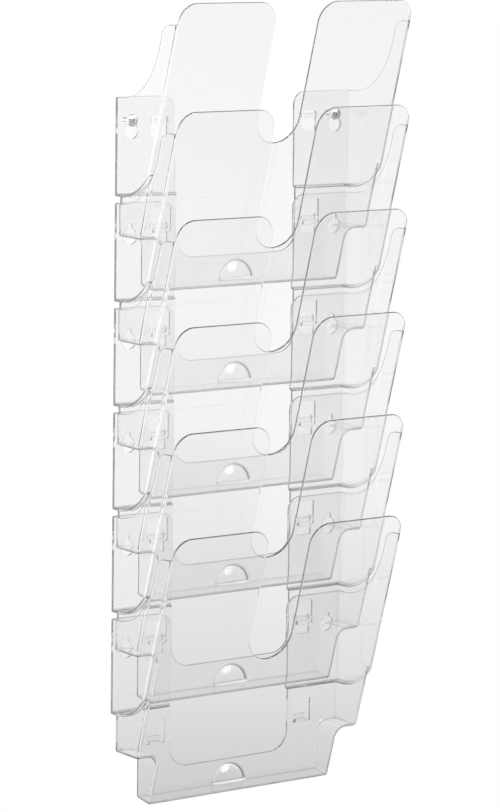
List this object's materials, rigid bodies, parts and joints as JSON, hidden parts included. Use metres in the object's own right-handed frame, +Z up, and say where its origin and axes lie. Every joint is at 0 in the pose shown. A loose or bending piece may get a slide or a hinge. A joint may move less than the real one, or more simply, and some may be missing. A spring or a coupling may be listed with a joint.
{
  "type": "wall brochure rack",
  "caption": "Wall rack of clear leaning leaflet pockets hooked below one another, each with rounded ears, a finger notch and an open back.",
  "frame": {"origin": "midway between the two wall screws, in the plane of the wall", "axes": "+X to the right seen from the front, +Y into the wall so the front faces -Y, +Z up"},
  "size_m": [0.247, 0.1081, 0.6957],
  "materials": {
    "clear_polystyrene": "clear and glossy, injection moulded",
    "zinc_plated_steel": "bright zinc plating"
  },
  "bodies": {
    "pocket_1": {"pocket_1": "clear_polystyrene", "wall_screw_left": "zinc_plated_steel", "wall_screw_right": "zinc_plated_steel"},
    "pocket_2": {"pocket_2": "clear_polystyrene"},
    "pocket_3": {"pocket_3": "clear_polystyrene"},
    "pocket_4": {"pocket_4": "clear_polystyrene"},
    "pocket_5": {"pocket_5": "clear_polystyrene"},
    "pocket_6": {"pocket_6": "clear_polystyrene"}
  },
  "joints": [
    {"name": "pocket_2_lift", "type": "slide", "parent": "pocket_1", "child": "pocket_2", "axis": [0, 0, 1], "range_m": [0, 0.005]},
    {"name": "pocket_3_lift", "type": "slide", "parent": "pocket_2", "child": "pocket_3", "axis": [0, 0, 1], "range_m": [0, 0.005]},
    {"name": "pocket_4_lift", "type": "slide", "parent": "pocket_3", "child": "pocket_4", "axis": [0, 0, 1], "range_m": [0, 0.005]},
    {"name": "pocket_5_lift", "type": "slide", "parent": "pocket_4", "child": "pocket_5", "axis": [0, 0, 1], "range_m": [0, 0.005]},
    {"name": "pocket_6_lift", "type": "slide", "parent": "pocket_5", "child": "pocket_6", "axis": [0, 0, 1], "range_m": [0, 0.005]}
  ]
}
